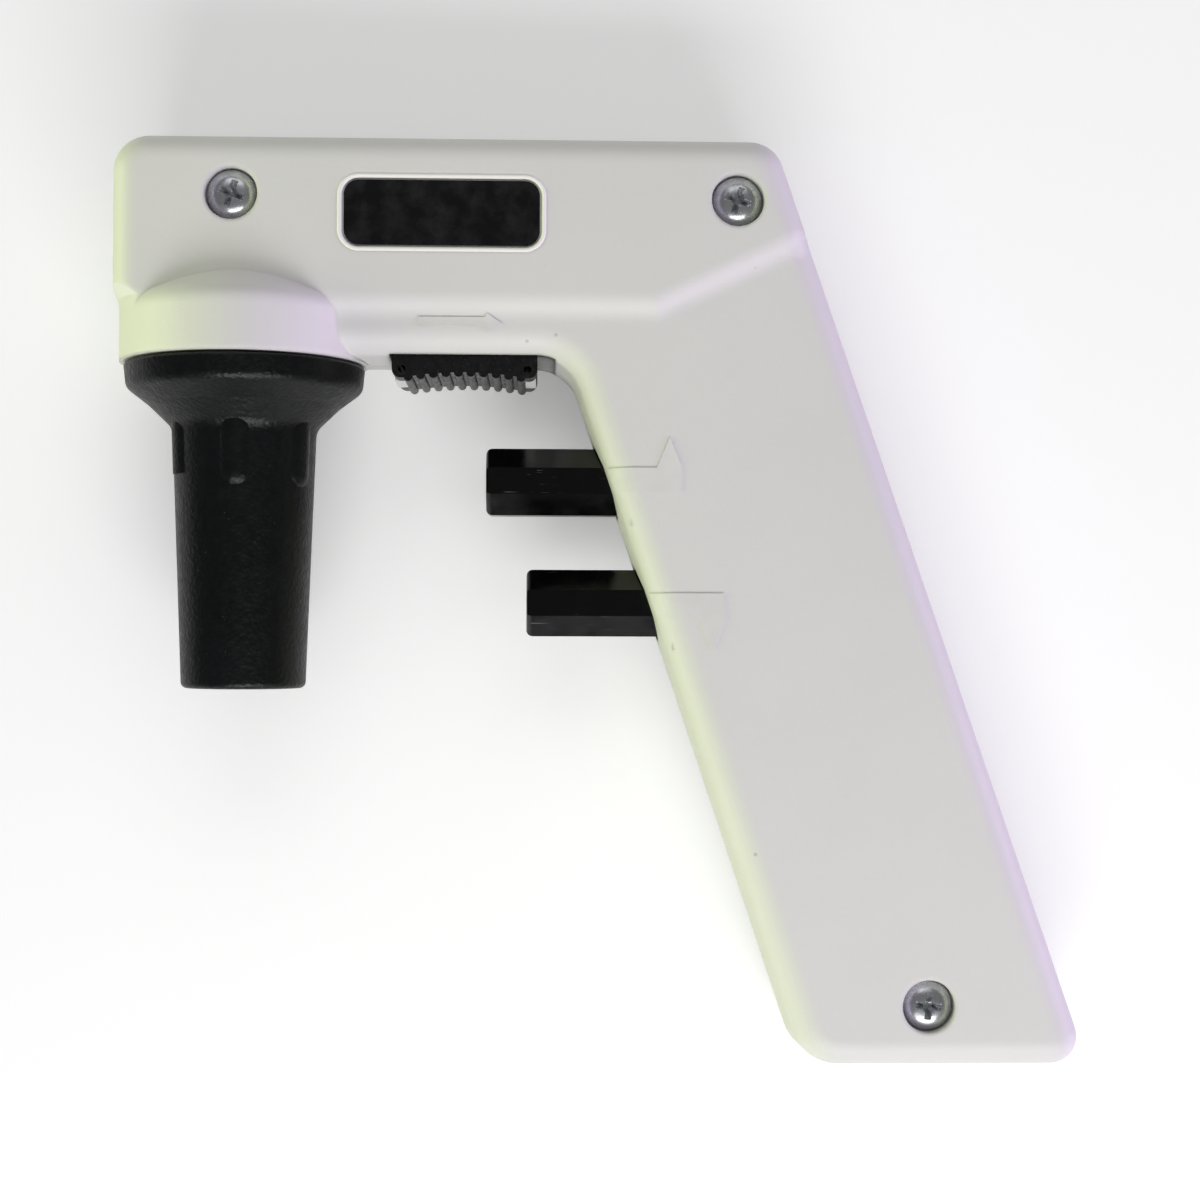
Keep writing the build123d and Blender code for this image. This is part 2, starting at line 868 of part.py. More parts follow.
carriage_y = underside + wall + fit_gap + slide_width / 2 * tan(radians(draft_angle))
knob_x = slide_x - carriage_overhang - knob_offset
fork_half = knob_width / 2 + lip_gap + fork_wall
with BuildPart() as slide_carriage:
    with BuildSketch(upright(slide_middle, carriage_y)):
        Rectangle(slide_width, slide_length + 2 * carriage_overhang)
    extrude(amount=carriage_thickness)
    with BuildSketch(upright(slide_middle, lug_foot)):
        with Locations([(0, x - slide_middle) for x in lug_spots]):
            Rectangle(lug_width, lug_length)
    extrude(amount=carriage_y - lug_foot)
    with BuildSketch(upright(knob_x, carriage_y)):
        with Locations((0, (knob_offset + fork_wall - fork_half) / 2)):
            Rectangle(arm_width, knob_offset + fork_wall + fork_half)
    extrude(amount=carriage_thickness)
    with BuildSketch(upright(knob_x, carriage_y)):
        Rectangle(arm_width, 2 * fork_half)
        Rectangle(arm_width, 2 * fork_half - 2 * fork_wall, mode=Mode.SUBTRACT)
    extrude(amount=carriage_thickness + fork_height)
    with BuildSketch(Plane.XY.offset(mid)):
        with Locations(pin_spots):
            Circle(pin_radius + pin_fit)
    extrude(amount=slide_width, both=True, mode=Mode.SUBTRACT)
slide_carriage.part.label = "slide_carriage"
export_step(slide_carriage.part, "parts/slide_carriage.step")

with BuildPart() as slide_pins:
    with BuildSketch(Plane.XY.offset(mid - slide_width / 2)):
        with Locations(pin_spots):
            Circle(pin_radius)
            Circle(pin_bore, mode=Mode.SUBTRACT)
    extrude(amount=slide_width)
slide_pins.part.label = "slide_pins"
export_step(slide_pins.part, "parts/slide_pins.step")

knob_y = carriage_y + carriage_thickness + lip_gap
switch_y = knob_y + fork_height + fit_gap
with BuildPart() as switch_knob:
    with BuildSketch(upright(knob_x, knob_y)):
        Rectangle(knob_width, knob_width)
    extrude(amount=fork_height + knob_rise)
switch_knob.part.label = "switch_knob"
export_step(switch_knob.part, "parts/switch_knob.step")

with BuildPart() as mode_switch:
    with BuildSketch(upright(knob_x, switch_y)):
        with Locations((0, slide_travel / 2)):
            Rectangle(switch_width, switch_length)
    extrude(amount=switch_height)
    with BuildSketch(upright(knob_x, switch_y)):
        with Locations((0, slide_travel / 2)):
            Rectangle(knob_width + 2 * fit_gap, knob_width + slide_travel + 2 * fit_gap)
    extrude(amount=knob_rise + fit_gap, mode=Mode.SUBTRACT)
mode_switch.part.label = "mode_switch"
export_step(mode_switch.part, "parts/mode_switch.step")

# Valve block with a stepped bore for each button stem
block_spots = [
    (front_x(block_bottom) + block_offset, block_bottom),
    (front_x(block_bottom) + block_offset + block_length, block_bottom),
    (front_x(block_top) + block_offset + block_length, block_top),
    (front_x(block_top) + block_offset, block_top),
]
port_spots = [front_x(block_top) + block_offset + port_inset + k * port_pitch for k in range(3)]
with BuildPart() as valve_block:
    with BuildSketch(Plane.XY.offset(mid - block_half_depth)):
        with BuildLine():
            Polyline(block_spots, close=True)
        make_face()
    extrude(amount=2 * block_half_depth)
    for y in button_heights:
        seat_x = front_x(y) + block_offset + seat_depth
        with BuildSketch(across(seat_x, y)):
            Circle(seat_radius)
        extrude(amount=-2 * seat_depth - wall, mode=Mode.SUBTRACT)
        with BuildSketch(across(seat_x, y)):
            Circle(stem_radius + stem_fit)
        extrude(amount=2 * block_length, mode=Mode.SUBTRACT)
    for x in port_spots:
        with BuildSketch(upright(x, block_top)):
            Circle(barb_radius)
        extrude(amount=port_length)
        with BuildSketch(upright(x, block_top + port_length)):
            Circle(barb_bore)
        extrude(amount=-port_length - block_margin, mode=Mode.SUBTRACT)
valve_block.part.label = "valve_block"
export_step(valve_block.part, "parts/valve_block.step")

with BuildPart() as valve_plugs:
    for y in button_heights:
        back = front_x(y) + block_offset + block_length
        with BuildSketch(across(back - plug_length, y)):
            Circle(stem_radius)
        extrude(amount=plug_length - seam_gap)
valve_plugs.part.label = "valve_plugs"
export_step(valve_plugs.part, "parts/valve_plugs.step")

# Drive motor and diaphragm pump, side by side in the barrel
crank_middle = motor_x - crankcase_length / 2
motor_plane = Plane(origin=(motor_x, crank_y, pump_z), x_dir=(0, 1, 0), z_dir=(1, 0, 0))
with BuildPart() as drive_motor:
    with BuildSketch(motor_plane):
        Circle(motor_radius)
    extrude(amount=motor_length)
    fillet(drive_motor.edges(), motor_soft)
    with BuildSketch(motor_plane.offset(motor_length)):
        Circle(motor_boss_radius)
    extrude(amount=motor_boss_length)
    with BuildSketch(motor_plane):
        Circle(shaft_radius + running_fit)
    extrude(amount=motor_length / 2, mode=Mode.SUBTRACT)
drive_motor.part.label = "drive_motor"
export_step(drive_motor.part, "parts/drive_motor.step")

with BuildPart() as motor_shaft:
    with BuildSketch(motor_plane.offset(motor_length / 2 - seam_gap)):
        Circle(shaft_radius)
    extrude(amount=-motor_length / 2 - shaft_length)
motor_shaft.part.label = "motor_shaft"
export_step(motor_shaft.part, "parts/motor_shaft.step")

with BuildPart() as eccentric:
    with BuildSketch(motor_plane.offset(-crankcase_length / 2 - eccentric_length / 2)):
        with Locations((0, eccentric_throw)):
            Circle(eccentric_radius)
        Circle(shaft_radius, mode=Mode.SUBTRACT)
    extrude(amount=eccentric_length)
eccentric.part.label = "eccentric"
export_step(eccentric.part, "parts/eccentric.step")

case_height = crankcase_below + crankcase_above
case_floor = crank_y - crankcase_below
with BuildPart() as crankcase:
    with BuildSketch(upright(crank_middle, case_floor, pump_z)):
        RectangleRounded(2 * crankcase_half, crankcase_length, crankcase_wall)
    extrude(amount=case_height)
    with BuildSketch(upright(crank_middle, case_floor + crankcase_wall, pump_z)):
        Rectangle(2 * (crankcase_half - crankcase_wall), crankcase_length - 2 * crankcase_wall)
    extrude(amount=case_height, mode=Mode.SUBTRACT)
    with BuildSketch(motor_plane):
        Circle(shaft_radius + fit_gap)
    extrude(amount=-2 * crankcase_wall, mode=Mode.SUBTRACT)
crankcase.part.label = "crankcase"
export_step(crankcase.part, "parts/crankcase.step")

ring_bore = eccentric_radius + eccentric_throw + rod_stroke + rod_ring_gap
ring_outer = ring_bore + rod_ring_wall
with BuildPart() as connecting_rod:
    with BuildSketch(motor_plane.offset(-crankcase_length / 2 - rod_ring_width / 2)):
        Circle(ring_outer)
        with Locations(((ring_outer + crankcase_above) / 2, 0)):
            Rectangle(crankcase_above - ring_outer + rod_ring_wall, 2 * rod_radius)
        Circle(ring_bore, mode=Mode.SUBTRACT)
    extrude(amount=rod_ring_width)
    with BuildSketch(upright(crank_middle, crank_y + crankcase_above - seam_gap, pump_z)):
        Rectangle(crankcase_length, crankcase_length)
    extrude(amount=crankcase_length, mode=Mode.SUBTRACT)
connecting_rod.part.label = "connecting_rod"
export_step(connecting_rod.part, "parts/connecting_rod.step")

diaphragm_y = crank_y + crankcase_above
head_y = diaphragm_y + diaphragm_thickness
with BuildPart() as diaphragm:
    with BuildSketch(upright(crank_middle, diaphragm_y, pump_z)):
        RectangleRounded(2 * crankcase_half, crankcase_length, crankcase_wall)
    extrude(amount=diaphragm_thickness)
diaphragm.part.label = "diaphragm"
export_step(diaphragm.part, "parts/diaphragm.step")

barb_y = head_y + pump_head_height / 2
barb_offsets = [-crankcase_half / 2, crankcase_half / 2]
with BuildPart() as pump_head:
    with BuildSketch(upright(crank_middle, head_y, pump_z)):
        RectangleRounded(2 * crankcase_half, crankcase_length, crankcase_wall)
    extrude(amount=pump_head_height)
    chamfer(pump_head.faces().sort_by(Axis.Y)[-1].edges(), length=spigot_chamfer)
    with BuildSketch(upright(crank_middle, head_y, pump_z)):
        Circle(chamber_radius)
    extrude(amount=chamber_depth, mode=Mode.SUBTRACT)
    for offset_z in barb_offsets:
        with BuildSketch(Plane(origin=(motor_x, barb_y, pump_z + offset_z), x_dir=(0, 1, 0), z_dir=(1, 0, 0))):
            Circle(barb_radius)
        extrude(amount=port_length)
        with BuildSketch(
            Plane(origin=(motor_x + port_length, barb_y, pump_z + offset_z), x_dir=(0, 1, 0), z_dir=(1, 0, 0))
        ):
            Circle(barb_bore)
        extrude(amount=-port_length - crankcase_length / 2, mode=Mode.SUBTRACT)
pump_head.part.label = "pump_head"
export_step(pump_head.part, "parts/pump_head.step")

# Air tubes pushed over the barbs
drop_x = (motor_x + motor_length + screw_spots[1][0] - post_radius) / 2
port_end = block_top + tube_start
tube_routes = {
    "nose_tube": [
        (nose_x + fitting_stem_radius + tube_start, port_y, mid),
        (motor_x - crankcase_length - lane_lead, port_y, mid),
        (motor_x - crankcase_length, port_y + tube_bend, mid + tube_lane),
        (drop_x, port_y + tube_bend, mid + tube_lane),
        (port_spots[2], block_top + 4 * port_length, mid + tube_lane / 2),
        (port_spots[2], block_top + 2 * port_length, mid),
        (port_spots[2], port_end, mid),
    ],
    "suction_tube": [
        (motor_x + tube_start, barb_y, pump_z + barb_offsets[0]),
        (drop_x, barb_y, pump_z + barb_offsets[0]),
        (drop_x, block_top + 3 * port_length, pump_z + barb_offsets[0]),
        (port_spots[0], block_top + 2 * port_length, mid),
        (port_spots[0], port_end, mid),
    ],
    "pressure_tube": [
        (motor_x + tube_start, barb_y, pump_z + barb_offsets[1]),
        (drop_x, barb_y, pump_z + barb_offsets[1]),
        (drop_x, block_top + 4 * port_length, pump_z + barb_offsets[1]),
        (port_spots[1], block_top + 2 * port_length, mid),
        (port_spots[1], port_end, mid),
    ],
}
for name, route in tube_routes.items():
    with BuildPart() as tube:
        with BuildLine():
            path = FilletPolyline(route, radius=tube_bend)
        with BuildSketch(Plane(origin=path @ 0, z_dir=path % 0)):
            Circle(tube_radius)
            Circle(barb_radius + tube_fit, mode=Mode.SUBTRACT)
        sweep()
    tube.part.label = name
    export_step(tube.part, f"parts/{name}.step")

# Two cells side by side in the handle, joined by a strap at each end
cell_spots = [-cell_radius - cell_gap / 2, cell_radius + cell_gap / 2]
with BuildPart() as battery_cells:
    with BuildSketch(pack_plane.offset(-cell_length / 2)):
        with Locations([(x, 0) for x in cell_spots]):
            Circle(cell_radius)
    extrude(amount=cell_length)
    fillet(battery_cells.edges().filter_by(GeomType.CIRCLE), cell_soft)
    for x, end in zip(cell_spots, (1, -1)):
        with BuildSketch(pack_plane.offset(end * cell_length / 2)):
            with Locations((x, 0)):
                Circle(cell_tip_radius)
        extrude(amount=end * cell_tip_height)
battery_cells.part.label = "battery_cells"
export_step(battery_cells.part, "parts/battery_cells.step")

with BuildPart() as battery_straps:
    for x, end in zip(cell_spots, (1, -1)):
        with BuildSketch(pack_plane.offset(end * (cell_length / 2 + cell_tip_height))):
            Rectangle(2 * cell_radius + strap_width, strap_width)
        extrude(amount=end * strap_thickness)
battery_straps.part.label = "battery_straps"
export_step(battery_straps.part, "parts/battery_straps.step")

# Charging socket in the foot of the handle
jack_floor = bottom + fit_gap
jack_shelf = bottom + wall + jack_collar_radius * tan(radians(draft_angle)) + seam_gap
with BuildPart() as charging_jack:
    with BuildSketch(upright(jack_x, jack_floor)):
        Circle(jack_radius)
    extrude(amount=jack_length)
    with BuildSketch(upright(jack_x, jack_shelf)):
        Circle(jack_collar_radius)
    extrude(amount=jack_collar_height)
    with BuildSketch(upright(jack_x, jack_floor)):
        Circle(jack_bore_radius)
    extrude(amount=jack_bore_depth, mode=Mode.SUBTRACT)
charging_jack.part.label = "charging_jack"
export_step(charging_jack.part, "parts/charging_jack.step")

with BuildPart() as jack_pin:
    with BuildSketch(upright(jack_x, jack_floor + jack_bore_depth)):
        Circle(jack_pin_radius)
    extrude(amount=-jack_bore_depth + jack_pin_sink)
    fillet(jack_pin.faces().sort_by(Axis.Y)[0].edges(), jack_pin_soft)
jack_pin.part.label = "jack_pin"
export_step(jack_pin.part, "parts/jack_pin.step")

# Circuit strip behind the buttons, with a switch and a spring leaf for each of them
board_low = button_heights[1] + guide_half_height + seam_gap
board_high = button_heights[0] + collar_radius + button_switch_height + 2 * switch_margin
board_z = mid - lower_half + wall + seam_gap
with BuildPart() as switch_board:
    with BuildSketch(Plane.XY.offset(board_z)):
        with BuildLine():
            Polyline(
                (front_x(board_low) + board_offset, board_low),
                (front_x(board_low) + board_offset + board_width, board_low),
                (front_x(board_high) + board_offset + board_width, board_high),
                (front_x(board_high) + board_offset, board_high),
                close=True,
            )
        make_face()
    extrude(amount=board_thickness)
switch_board.part.label = "switch_board"
export_step(switch_board.part, "parts/switch_board.step")

switch_bottoms = [y + collar_radius + switch_margin for y in button_heights]
switch_lefts = [front_x(y) + board_offset + board_inset for y in switch_bottoms]
with BuildPart() as button_switches:
    for x, y in zip(switch_lefts, switch_bottoms):
        with BuildSketch(Plane.XY.offset(board_z + board_thickness)):
            with Locations((x + button_switch_length / 2, y + button_switch_height / 2)):
                Rectangle(button_switch_length, button_switch_height)
        extrude(amount=button_switch_depth)
button_switches.part.label = "button_switches"
export_step(button_switches.part, "parts/button_switches.step")

for name, height_y, x, y in zip(button_names, button_heights, switch_lefts, switch_bottoms):
    leaf_x = front_x(height_y) + guide_depth + collar_thickness + button_travel - leaf_bite
    leaf_z = board_z + board_thickness + button_switch_depth / 2
    with BuildPart() as leaf:
        with BuildSketch(Plane.XY.offset(leaf_z - leaf_width / 2)):
            with BuildLine():
                FilletPolyline(
                    (x + button_switch_length, y + leaf_root + leaf_thickness),
                    (x + button_switch_length, y + leaf_root),
                    (leaf_x, y + leaf_root),
                    (leaf_x, y - leaf_drop),
                    (leaf_x + leaf_thickness, y - leaf_drop),
                    (leaf_x + leaf_thickness, y + leaf_root + leaf_thickness),
                    radius=[0, 0, 0, 0, 0, 0],
                    close=True,
                )
            make_face()
        extrude(amount=leaf_width)
    leaf.part.label = f"{name}_leaf"
    export_step(leaf.part, f"parts/{name}_leaf.step")
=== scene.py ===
"""Looks of a pistol-grip pipette pump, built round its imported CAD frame.

Every visible and inner piece gets a procedural material, the screws, the raised arrows
and the frame of the side plate are modelled in mesh code, and a stage with soft light
shows the pump lying on its side. Sizes are in metres, in the frame of the CAD model.
"""

import math

import bmesh
import bpy
from mathutils import Matrix, Vector
from mathutils.bvhtree import BVHTree


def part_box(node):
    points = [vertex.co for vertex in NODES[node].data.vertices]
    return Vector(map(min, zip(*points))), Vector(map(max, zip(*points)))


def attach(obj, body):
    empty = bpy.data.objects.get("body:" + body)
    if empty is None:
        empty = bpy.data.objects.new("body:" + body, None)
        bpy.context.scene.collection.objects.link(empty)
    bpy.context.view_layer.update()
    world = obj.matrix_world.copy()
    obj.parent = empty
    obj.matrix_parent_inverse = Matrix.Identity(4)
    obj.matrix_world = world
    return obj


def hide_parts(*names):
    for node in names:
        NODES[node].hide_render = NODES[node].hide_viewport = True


bl_info = {
    "name": "Pipette pump looks",
    "version": (1, 0, 0),
    "blender": (4, 5, 0),
    "location": "3D View > Sidebar > Pump",
    "description": "Materials, screws, side plate frame and stage of a pipette pump",
    "category": "Object",
}

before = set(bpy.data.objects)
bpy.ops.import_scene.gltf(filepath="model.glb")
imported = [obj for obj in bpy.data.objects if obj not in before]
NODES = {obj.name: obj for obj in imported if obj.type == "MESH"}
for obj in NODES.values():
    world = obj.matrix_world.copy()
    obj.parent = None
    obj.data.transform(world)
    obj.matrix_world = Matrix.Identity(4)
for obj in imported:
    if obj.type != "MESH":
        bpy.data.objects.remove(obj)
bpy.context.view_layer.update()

MM = 0.001


# Node trees


class Tree:
    """Short names for building a material's nodes from left to right."""

    def __init__(self, name):
        self.material = bpy.data.materials.new(name)
        self.material.use_nodes = True
        self.tree = self.material.node_tree
        self.tree.nodes.clear()
        self.shader = self.add("ShaderNodeBsdfPrincipled", 400)
        self.output = self.add("ShaderNodeOutputMaterial", 700)
        self.link(self.shader.outputs[0], self.output.inputs["Surface"])
        self.place = self.add("ShaderNodeTexCoord", -1200).outputs["Object"]

    def add(self, kind, x=0, **settings):
        node = self.tree.nodes.new(kind)
        node.location = (x, -160 * len(self.tree.nodes))
        for key, value in settings.items():
            setattr(node, key, value)
        return node

    def link(self, source, target):
        self.tree.links.new(source, target)

    def set(self, **values):
        """Constants on the shader's own sockets, by name with _ for a space."""
        for key, value in values.items():
            self.shader.inputs[key.replace("_", " ")].default_value = value

    def stretched(self, scale, turn=0.0):
        """Object coordinates turned by turn degrees, with a scale of their own along each axis."""
        mapping = self.add("ShaderNodeMapping", -1000)
        mapping.inputs["Rotation"].default_value = (0.0, 0.0, math.radians(turn))
        mapping.inputs["Scale"].default_value = scale
        self.link(self.place, mapping.inputs["Vector"])
        return mapping.outputs[0]

    def noise(self, scale, detail=2.0, rough=0.5, place=None, distortion=0.0):
        node = self.add("ShaderNodeTexNoise", -800)
        node.inputs["Scale"].default_value = scale
        node.inputs["Detail"].default_value = detail
        node.inputs["Roughness"].default_value = rough
        node.inputs["Distortion"].default_value = distortion
        self.link(place or self.place, node.inputs["Vector"])
        return node.outputs["Fac"]

    def cells(self, scale, feature="F1"):
        node = self.add("ShaderNodeTexVoronoi", -800, feature=feature)
        node.inputs["Scale"].default_value = scale
        self.link(self.place, node.inputs["Vector"])
        return node.outputs["Distance"]

    def span(self, value, low, high, out_low=0.0, out_high=1.0, smooth=False):
        """value carried from low..high to out_low..out_high, clamped."""
        node = self.add("ShaderNodeMapRange", -500)
        if smooth:
            node.interpolation_type = "SMOOTHSTEP"
        ends = (("From Min", low), ("From Max", high), ("To Min", out_low), ("To Max", out_high))
        for key, number in ends:
            node.inputs[key].default_value = number
        self.link(value, node.inputs["Value"])
        return node.outputs["Result"]

    def math(self, operation, a, b):
        node = self.add("ShaderNodeMath", -300, operation=operation)
        for socket, value in zip(node.inputs, (a, b)):
            if isinstance(value, (int, float)):
                socket.default_value = value
            else:
                self.link(value, socket)
        return node.outputs[0]

    def mix(self, share, a, b):
        """Colour a where share is 0 and b where it is 1."""
        node = self.add("ShaderNodeMix", -100, data_type="RGBA")
        self.link(share, node.inputs[0])
        for socket, value in ((node.inputs[6], a), (node.inputs[7], b)):
            if isinstance(value, (tuple, list)):
                socket.default_value = (*value[:3], 1.0)
            else:
                self.link(value, socket)
        return node.outputs[2]

    def bump(self, *layers, soft=0.0):
        """Stacked bumps of (height, depth in metres), coarsest first, over edges softened by soft."""
        normal = None
        if soft:
            bevel = self.add("ShaderNodeBevel", 0, samples=6)
            bevel.inputs["Radius"].default_value = soft
            normal = bevel.outputs["Normal"]
        for height, depth in layers:
            node = self.add("ShaderNodeBump", 150)
            node.inputs["Strength"].default_value = 1.0
            node.inputs["Distance"].default_value = depth
            self.link(height, node.inputs["Height"])
            if normal:
                self.link(normal, node.inputs["Normal"])
            normal = node.outputs["Normal"]
        self.link(normal, self.shader.inputs["Normal"])

    def colour(self, value):
        self.link(value, self.shader.inputs["Base Color"])

    def rough(self, value):
        self.link(value, self.shader.inputs["Roughness"])


def dress(material, *names):
    """Gives the named CAD nodes this material alone."""
    for name in names:
        node = NODES[name]
        node.data.materials.clear()
        node.data.materials.append(material)


def new_object(name, mesh, material, body):
    thing = bpy.data.objects.new(name, mesh)
    bpy.context.scene.collection.objects.link(thing)
    thing.data.materials.append(material)
    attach(thing, body)
    return thing


def smooth(mesh, angle=40.0):
    mesh.shade_smooth()
    mesh.set_sharp_from_angle(angle=math.radians(angle))


def shade(colour, factor):
    return tuple(c * factor for c in colour)


# Settings


class PlasticSettings(bpy.types.PropertyGroup):
    """Finish of the moulded housing."""

    colour: bpy.props.FloatVectorProperty(
        name="Housing colour", description="Base colour of the moulded shells", subtype="COLOR",
        size=3, min=0, max=1, default=(0.685, 0.68, 0.665))
    grain: bpy.props.FloatProperty(
        name="Grain size", description="Width of one pebble of the leather grain", unit="LENGTH",
        default=0.00062, min=0.0001, max=0.005)
    depth: bpy.props.FloatProperty(
        name="Grain depth", description="Height of the leather grain", unit="LENGTH",
        default=0.00003, min=0.0, max=0.0005)
    mark: bpy.props.FloatProperty(
        name="Mark height", description="Height of the raised arrows", unit="LENGTH",
        default=0.00018, min=0.0, max=0.001)


class BlackSettings(bpy.types.PropertyGroup):
    """Finish of the black mouldings."""

    nose_colour: bpy.props.FloatVectorProperty(
        name="Nosepiece colour", description="Base colour of the nosepiece", subtype="COLOR",
        size=3, min=0, max=1, default=(0.0035, 0.004, 0.0045))
    nose_rough: bpy.props.FloatProperty(
        name="Nosepiece roughness", description="Roughness of the satin nosepiece", subtype="FACTOR",
        default=0.36, min=0, max=1)
    button_colour: bpy.props.FloatVectorProperty(
        name="Button colour", description="Base colour of the polished buttons", subtype="COLOR",
        size=3, min=0, max=1, default=(0.0015, 0.0015, 0.002))
    button_rough: bpy.props.FloatProperty(
        name="Button roughness", description="Roughness of the polished buttons", subtype="FACTOR",
        default=0.16, min=0, max=1)


class MetalSettings(bpy.types.PropertyGroup):
    """Finish of the metal pieces."""

    zinc: bpy.props.FloatVectorProperty(
        name="Zinc colour", description="Colour of the zinc-plated screws", subtype="COLOR",
        size=3, min=0, max=1, default=(0.62, 0.63, 0.66))
    steel: bpy.props.FloatVectorProperty(
        name="Steel colour", description="Colour of steel pieces", subtype="COLOR",
        size=3, min=0, max=1, default=(0.56, 0.56, 0.56))
    brass: bpy.props.FloatVectorProperty(
        name="Brass colour", description="Colour of brass pieces", subtype="COLOR",
        size=3, min=0, max=1, default=(0.78, 0.56, 0.26))


class PlateSettings(bpy.types.PropertyGroup):
    """Frame round the side plate."""

    bead: bpy.props.FloatProperty(
        name="Bead radius", description="Radius of the raised bead round the plate", unit="LENGTH",
        default=0.00034, min=0.0001, max=0.002)
    reach: bpy.props.FloatProperty(
        name="Bead reach", description="Distance of the bead outside the plate's recess", unit="LENGTH",
        default=0.0006, min=0.0, max=0.003)


class StageSettings(bpy.types.PropertyGroup):
    """Floor, light and camera."""

    floor_width: bpy.props.FloatProperty(
        name="Floor width", description="Width of the floor", unit="LENGTH", default=4.0, min=0.5, max=20)
    floor_tilt: bpy.props.FloatProperty(
        name="Floor tilt", description="Slope of the floor under the pump, which rests on boss and handle",
        subtype="ANGLE", default=math.radians(3.54), min=0, max=0.2)
    key: bpy.props.FloatProperty(
        name="Key light", description="Power of the soft light from the handle's foot", unit="POWER",
        default=3.3, min=0, max=500)
    top: bpy.props.FloatProperty(
        name="Top light", description="Power of the soft light from the top of the barrel", unit="POWER",
        default=0.9, min=0, max=500)
    left: bpy.props.FloatProperty(
        name="Left light", description="Power of the low light from the nose side", unit="POWER",
        default=1.5, min=0, max=500)
    right: bpy.props.FloatProperty(
        name="Right light", description="Power of the low light from the back of the handle", unit="POWER",
        default=1.5, min=0, max=500)
    sky: bpy.props.FloatProperty(
        name="Surround", description="Strength of the even white surround", default=0.35, min=0, max=5)
    mirror: bpy.props.FloatProperty(
        name="Mirrored surround", description="Strength of the surround as polished pieces mirror it",
        default=0.09, min=0, max=5)


# Housing


def leather_plastic(name, colour, grain, depth):
    """Moulded plastic with a leather grain, a few specks and faint handling marks."""
    t = Tree(name)
    warp = t.noise(1 / (3 * grain), 2.0, 0.5)
    pebble = t.cells(1 / grain, "SMOOTH_F1")
    fine = t.noise(2.2 / grain, 3.0, 0.6)
    height = t.math("ADD", t.math("MULTIPLY", pebble, 0.55), t.math("MULTIPLY", fine, 0.6))
    height = t.math("ADD", height, t.math("MULTIPLY", warp, 0.5))
    wide = t.span(t.noise(34.0, 3.0, 0.55), 0.3, 0.7)
    specks = t.span(t.cells(150.0), 0.035, 0.05, 1.0, 0.0)
    rare = t.span(t.noise(90.0, 0.0), 0.62, 0.66)
    marks = t.math("MULTIPLY", t.math("MULTIPLY", specks, rare), 0.45)
    base = t.mix(wide, shade(colour, 0.985), shade(colour, 1.012))
    t.colour(t.mix(marks, base, shade(colour, 0.45)))
    t.rough(t.span(t.noise(160.0, 3.0), 0.3, 0.7, 0.46, 0.56))
    t.set(IOR=1.5, Specular_IOR_Level=0.45)
    t.bump((t.noise(70.0, 2.0), 0.00006), (height, depth), soft=0.0009)
    return t.material


class PUMP_OT_housing(bpy.types.Operator):
    """Leather-grained plastic for the two shells"""

    bl_idname = "pump.housing"
    bl_label = "Housing"

    def execute(self, context):
        s = context.scene.pump_plastic
        plastic = leather_plastic("housing_plastic", tuple(s.colour), s.grain, s.depth)
        dress(plastic, "near_shell", "far_shell")
        return {"FINISHED"}


# Side plate

# Corner radius of the plate's recess and height of the face around it, in metres
PLATE_CORNER = 0.0021
PLATE_FACE = 0.0297
PLATE_BLACK = (0.004, 0.004, 0.005)
PLATE_HAZE = (0.016, 0.016, 0.017)


def rounded_loop(low, high, radius, steps=12):
    """Points of a rounded rectangle between two corners, counter-clockwise."""
    corners = (
        (high[0] - radius, high[1] - radius, 0),
        (low[0] + radius, high[1] - radius, 90),
        (low[0] + radius, low[1] + radius, 180),
        (high[0] - radius, low[1] + radius, 270),
    )
    points = []
    for x, y, start in corners:
        for k in range(steps + 1):
            a = math.radians(start + 90 * k / steps)
            points.append((x + radius * math.cos(a), y + radius * math.sin(a)))
    return points


def bead_mesh(name, loop, z, radius, sides=12):
    """A round bead along a closed loop of points at height z."""
    mesh = bmesh.new()
    up = Vector((0, 0, 1))
    count = len(loop)
    rings = []
    for i, (x, y) in enumerate(loop):
        ax, ay = loop[i - 1]
        bx, by = loop[(i + 1) % count]
        along = Vector((bx - ax, by - ay, 0)).normalized()
        out = Vector((along.y, -along.x, 0))
        ring = []
        for k in range(sides):
            a = 2 * math.pi * k / sides
            spoke = math.cos(a) * out + math.sin(a) * up
            ring.append(mesh.verts.new(Vector((x, y, z)) + radius * spoke))
        rings.append(ring)
    for i, ring in enumerate(rings):
        after = rings[(i + 1) % count]
        for k in range(sides):
            mesh.faces.new((ring[k], after[k], after[(k + 1) % sides], ring[(k + 1) % sides]))
    bmesh.ops.recalc_face_normals(mesh, faces=mesh.faces)
    made = bpy.data.meshes.new(name)
    mesh.to_mesh(made)
    mesh.free()
    made.shade_smooth()
    return made


